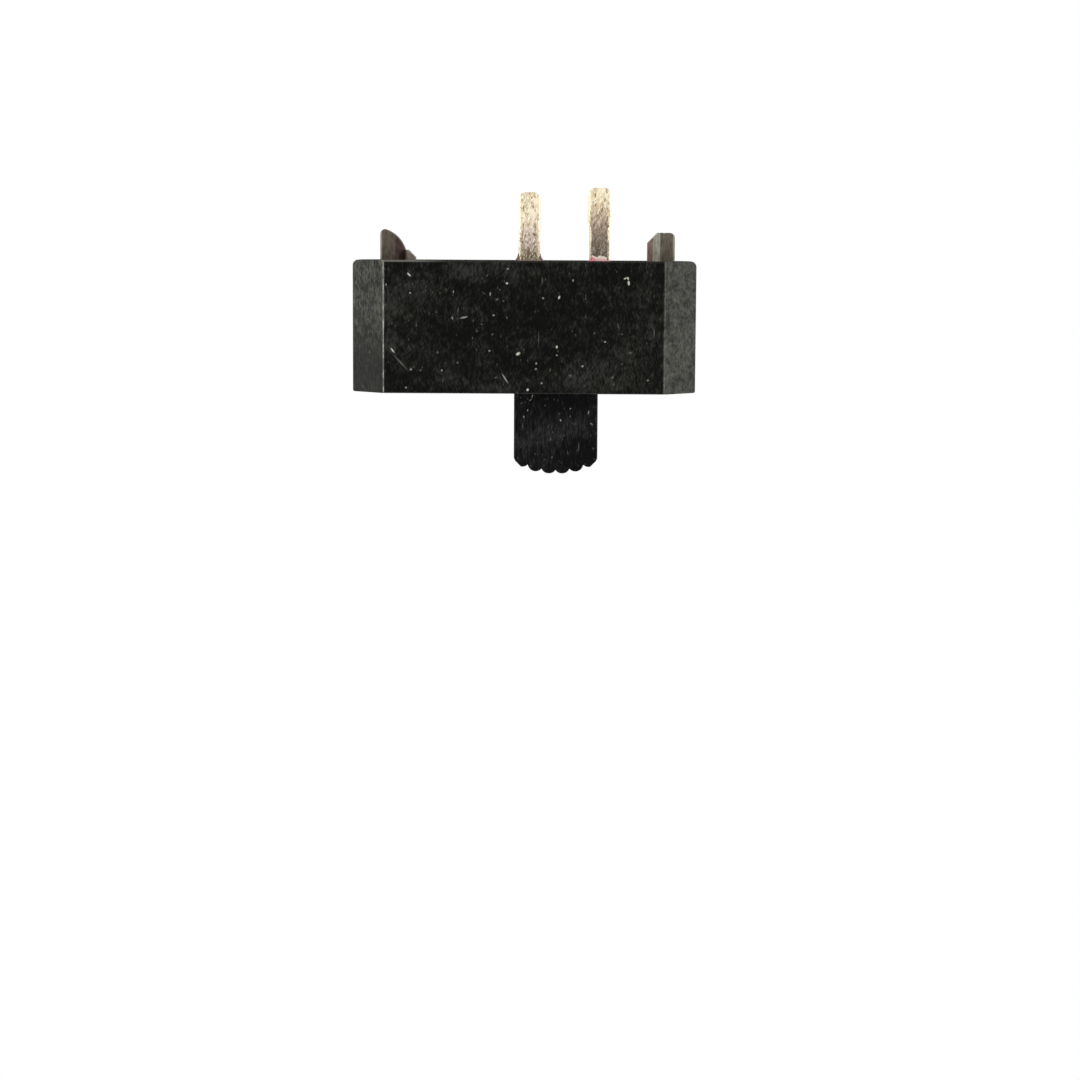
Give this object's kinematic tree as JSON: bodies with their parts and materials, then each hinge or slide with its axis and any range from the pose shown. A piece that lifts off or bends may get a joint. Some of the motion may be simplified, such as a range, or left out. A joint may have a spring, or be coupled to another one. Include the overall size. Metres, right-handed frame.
{
  "type": "slide switch",
  "caption": "Miniature board-mounted slide switch: black moulded housing with cut corners, ridged knob, flat tinned pins and moulded end posts, with a bridging contact and ball detent inside.",
  "frame": {"origin": "middle of the housing's rim, on the plane that seats on the board", "axes": "+X along the body towards the tall end post, +Y through the thickness towards the rear face, +Z away from the board towards the knob"},
  "size_m": [0.0226, 0.0068, 0.0186],
  "materials": {
    "housing_plastic": "fine-grained black, glass filled",
    "knob_plastic": "fine-grained black, a little worn",
    "base_thermoset": "brown thermoset with flash-trimmed edges",
    "tinned_brass": "dull hot-dipped tin",
    "silver": "satin silver alloy",
    "copper": "stamped copper",
    "spring_steel": "drawn wire",
    "ball_steel": "polished hardened steel",
    "seal_resin": "poured reddish-brown resin"
  },
  "bodies": {
    "case": {"housing": "housing_plastic", "terminal_base": "base_thermoset", "common_terminal": "tinned_brass", "throw_terminal": "tinned_brass", "common_contact": "silver", "throw_contact": "silver", "epoxy_seal": "seal_resin"},
    "slider": {"actuator": "knob_plastic", "moving_contact": "copper", "moving_button_common": "silver", "moving_button_throw": "silver", "contact_spring": "spring_steel", "detent_spring": "spring_steel"},
    "front_ball": {"detent_ball_front": "ball_steel"},
    "rear_ball": {"detent_ball_rear": "ball_steel"}
  },
  "joints": [
    {"name": "knob_slide", "type": "slide", "parent": "case", "child": "slider", "axis": [1, 0, 0], "range_m": [0, 0.0042]},
    {"name": "front_ball_throw", "type": "slide", "parent": "slider", "child": "front_ball", "axis": [0, -1, 0], "range_m": [0, 0.00025], "stiffness_N_per_m": 15, "springref_m": 0.00025, "deforming": ["detent_spring"]},
    {"name": "rear_ball_throw", "type": "slide", "parent": "slider", "child": "rear_ball", "axis": [0, 1, 0], "range_m": [0, 0.00025], "stiffness_N_per_m": 15, "springref_m": 0.00025}
  ]
}
